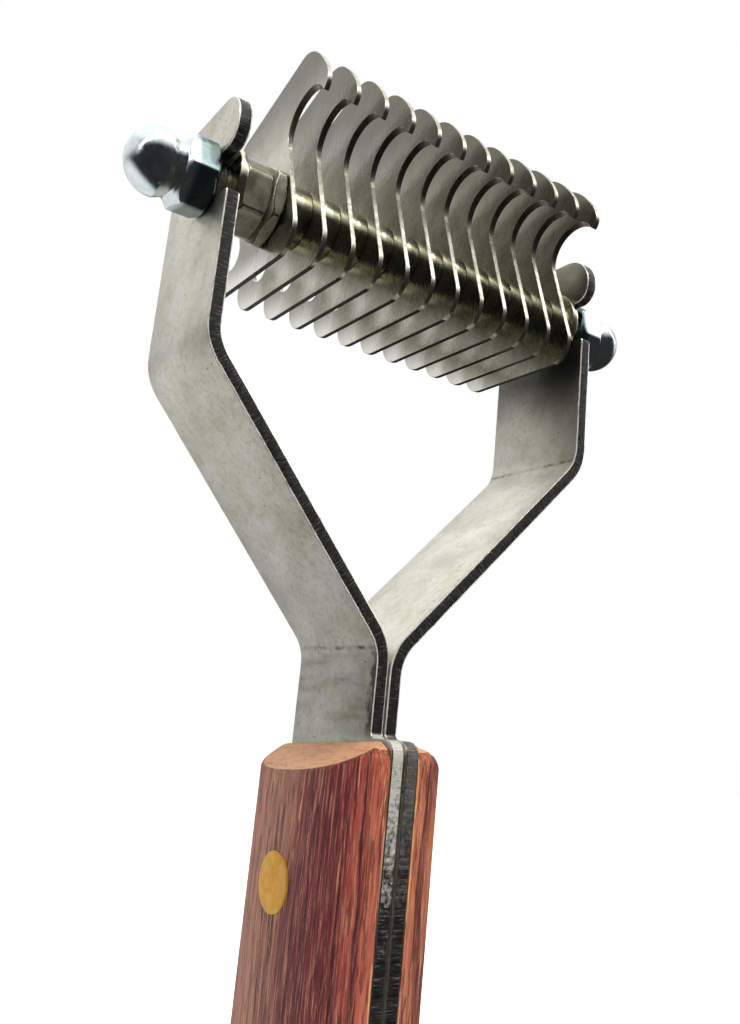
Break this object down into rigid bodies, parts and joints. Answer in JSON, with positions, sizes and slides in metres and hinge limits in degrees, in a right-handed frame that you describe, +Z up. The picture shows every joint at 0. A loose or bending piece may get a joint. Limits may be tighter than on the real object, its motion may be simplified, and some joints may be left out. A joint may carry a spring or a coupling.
{
  "type": "deshedding rake",
  "caption": "Hand-held coat deshedding rake: hooked steel blades stacked on a threaded axle between two bent strap arms on a riveted wooden handle.",
  "frame": {"origin": "centre of the bottom of the whole tool's bounding box, in the plane of the handle's flat butt end", "axes": "+Z up along the handle towards the blades, +X along the axle from the lock nut side to the other side, -Y the way that the blades' large hooks point"},
  "size_m": [0.0756, 0.0256, 0.1821],
  "materials": {
    "strap_steel": "tumbled warm grey with dark sheared edges",
    "blade_steel": "satin grey with bright thin edges",
    "polished_steel": "polished turned tube",
    "nut_steel": "dull grey-olive",
    "zinc_plate": "bright bluish plating",
    "handle_wood": "oiled reddish striped hardwood",
    "rivet_brass": "matt yellow brass"
  },
  "bodies": {
    "frame": {"left_arm": "strap_steel", "right_arm": "strap_steel", "left_handle_scale": "handle_wood", "right_handle_scale": "handle_wood", "lower_rivet": "rivet_brass", "upper_rivet": "rivet_brass"},
    "axle": {"axle_stud": "nut_steel", "left_washer": "polished_steel", "outer_lock_nut": "nut_steel", "inner_lock_nut": "nut_steel", "right_washer": "polished_steel"},
    "blade_pack": {"blade_01": "blade_steel", "blade_02": "blade_steel", "blade_03": "blade_steel", "blade_04": "blade_steel", "blade_05": "blade_steel", "blade_06": "blade_steel", "blade_07": "blade_steel", "blade_08": "blade_steel", "blade_09": "blade_steel", "blade_10": "blade_steel", "blade_11": "blade_steel", "blade_12": "blade_steel", "spacer_01": "polished_steel", "spacer_02": "polished_steel", "spacer_03": "polished_steel", "spacer_04": "polished_steel", "spacer_05": "polished_steel", "spacer_06": "polished_steel", "spacer_07": "polished_steel", "spacer_08": "polished_steel", "spacer_09": "polished_steel", "spacer_10": "polished_steel", "spacer_11": "polished_steel", "end_spacer": "polished_steel"},
    "left_cap": {"left_cap_nut": "zinc_plate"},
    "right_cap": {"right_cap_nut": "zinc_plate"}
  },
  "joints": [
    {"name": "head_release", "type": "slide", "parent": "frame", "child": "axle", "axis": [0, -1, 0], "range_m": [0, 0.012]},
    {"name": "blade_turn", "type": "hinge", "parent": "axle", "child": "blade_pack", "pos_m": [0, -0.00189, 0.1641], "axis": [1, 0, 0], "range_deg": [-180, 180]},
    {"name": "left_cap_release", "type": "slide", "parent": "axle", "child": "left_cap", "axis": [-1, 0, 0], "range_m": [0, 0.008]},
    {"name": "right_cap_release", "type": "slide", "parent": "axle", "child": "right_cap", "axis": [1, 0, 0], "range_m": [0, 0.008]}
  ]
}
